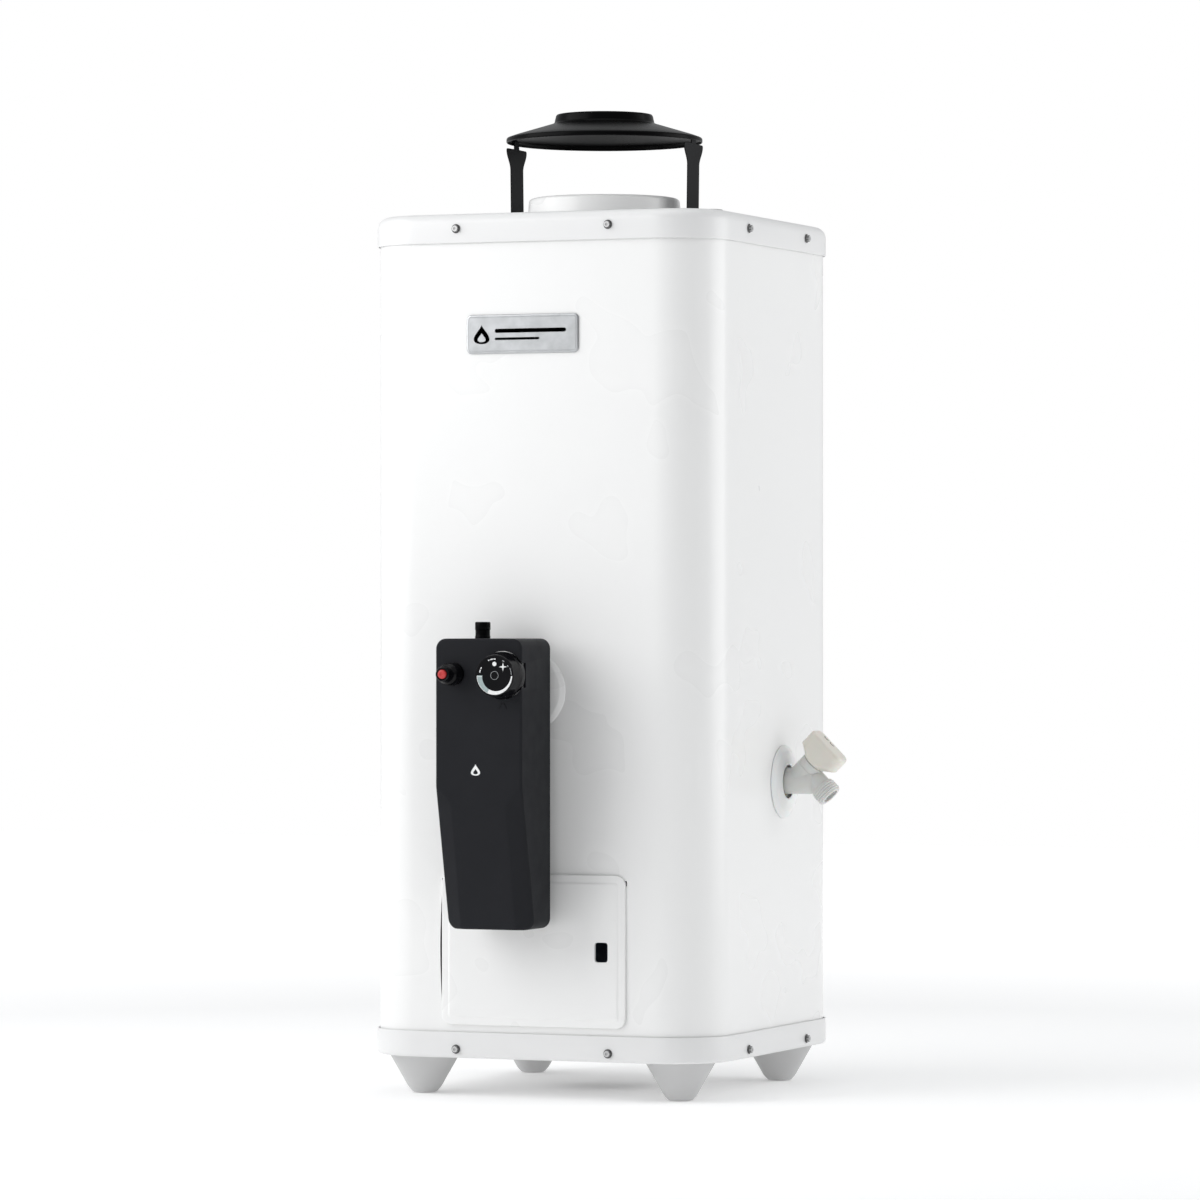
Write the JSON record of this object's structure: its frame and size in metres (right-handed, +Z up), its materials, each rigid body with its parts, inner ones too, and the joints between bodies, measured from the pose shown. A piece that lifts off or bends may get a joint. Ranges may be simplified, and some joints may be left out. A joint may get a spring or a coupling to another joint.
{
  "type": "tank water heater",
  "caption": "Free-standing gas storage water heater with a square white jacket, black draft hood, gas control, burner door and drain valve.",
  "frame": {"origin": "centre of the bounding box in X and Y, on the floor under the feet", "axes": "+Z up, -Y to the front where the gas control is, +X to the side with the drain valve"},
  "size_m": [0.4354, 0.492, 0.969],
  "materials": {
    "jacket_enamel": "gloss",
    "cap_enamel": "satin",
    "foot_plastic": "satin",
    "black_enamel": "satin",
    "control_plastic": "satin",
    "dial_plastic": "gloss",
    "red_plastic": "gloss",
    "blue_plastic": "gloss",
    "ivory_plastic": "satin",
    "badge_metal": "satin",
    "zinc_steel": "satin",
    "tank_steel": "satin",
    "cast_aluminium": "satin",
    "magnesium": "matte",
    "brass": "satin",
    "glass_wool": "matte",
    "dip_plastic": "satin"
  },
  "bodies": {
    "heater": {"anode_rod": "magnesium", "badge_plate": "badge_metal", "bottom_cap": "cap_enamel", "burner_bracket": "zinc_steel", "burner_gas_tube": "cast_aluminium", "cold_nipple": "zinc_steel", "cold_ring": "blue_plastic", "control_cover": "control_plastic", "control_escutcheon": "jacket_enamel", "dip_tube": "dip_plastic", "draft_hood": "black_enamel", "drain_escutcheon": "ivory_plastic", "drain_valve_body": "ivory_plastic", "flue_baffle": "tank_steel", "flue_collar": "jacket_enamel", "flue_tube": "tank_steel", "foot_front_left": "foot_plastic", "foot_front_right": "foot_plastic", "foot_rear_left": "foot_plastic", "foot_rear_right": "foot_plastic", "gas_inlet": "black_enamel", "gas_valve_body": "cast_aluminium", "hood_leg_left": "black_enamel", "hood_leg_right": "black_enamel", "hot_nipple": "zinc_steel", "hot_ring": "red_plastic", "igniter_body": "dial_plastic", "insulation": "glass_wool", "main_burner": "cast_aluminium", "outer_jacket": "jacket_enamel", "pilot_burner": "zinc_steel", "pilot_gas_tube": "cast_aluminium", "screw_bottom_back_1": "zinc_steel", "screw_bottom_back_2": "zinc_steel", "screw_bottom_front_1": "zinc_steel", "screw_bottom_front_2": "zinc_steel", "screw_bottom_left_1": "zinc_steel", "screw_bottom_left_2": "zinc_steel", "screw_bottom_right_1": "zinc_steel", "screw_bottom_right_2": "zinc_steel", "screw_top_back_1": "zinc_steel", "screw_top_back_2": "zinc_steel", "screw_top_front_1": "zinc_steel", "screw_top_front_2": "zinc_steel", "screw_top_left_1": "zinc_steel", "screw_top_left_2": "zinc_steel", "screw_top_right_1": "zinc_steel", "screw_top_right_2": "zinc_steel", "tank_bottom_head": "tank_steel", "tank_shell": "tank_steel", "tank_top_head": "tank_steel", "thermocouple": "brass", "thermostat_probe": "brass", "top_cap": "cap_enamel"},
    "door": {"burner_door": "jacket_enamel"},
    "dial_shaft": {"dial_shaft": "brass"},
    "dial": {"temperature_dial": "dial_plastic"},
    "igniter_button": {"igniter_button": "red_plastic"},
    "drain_stem": {"drain_stem": "brass"},
    "drain_handle": {"drain_handle": "ivory_plastic"}
  },
  "joints": [
    {"name": "door_tilt", "type": "hinge", "parent": "heater", "child": "door", "pos_m": [-0.02869, -0.1255, 0.2181], "axis": [-1, 0, 0], "range_deg": [0, 19]},
    {"name": "dial_turn", "type": "hinge", "parent": "heater", "child": "dial_shaft", "pos_m": [-0.02069, -0.2175, 0.412], "axis": [0, -1, 0], "range_deg": [-180, 90]},
    {"name": "dial_push", "type": "slide", "parent": "dial_shaft", "child": "dial", "axis": [0, 1, 0], "range_m": [0, 0.004], "stiffness_N_per_m": 600, "springref_m": -0.002},
    {"name": "igniter_press", "type": "slide", "parent": "heater", "child": "igniter_button", "axis": [0, 1, 0], "range_m": [0, 0.004], "stiffness_N_per_m": 800, "springref_m": -0.002},
    {"name": "drain_lift", "type": "slide", "parent": "heater", "child": "drain_stem", "axis": [0.7071, 0, 0.7071], "range_m": [0, 0.0035]},
    {"name": "drain_turn", "type": "hinge", "parent": "drain_stem", "child": "drain_handle", "pos_m": [0.16801, 0.0795, 0.3058], "axis": [0.7071, 0, 0.7071], "range_deg": [0, 631]}
  ],
  "couplings": [
    {"joint": "drain_turn", "follows": "drain_lift", "rad_per_m": 3141.6}
  ]
}
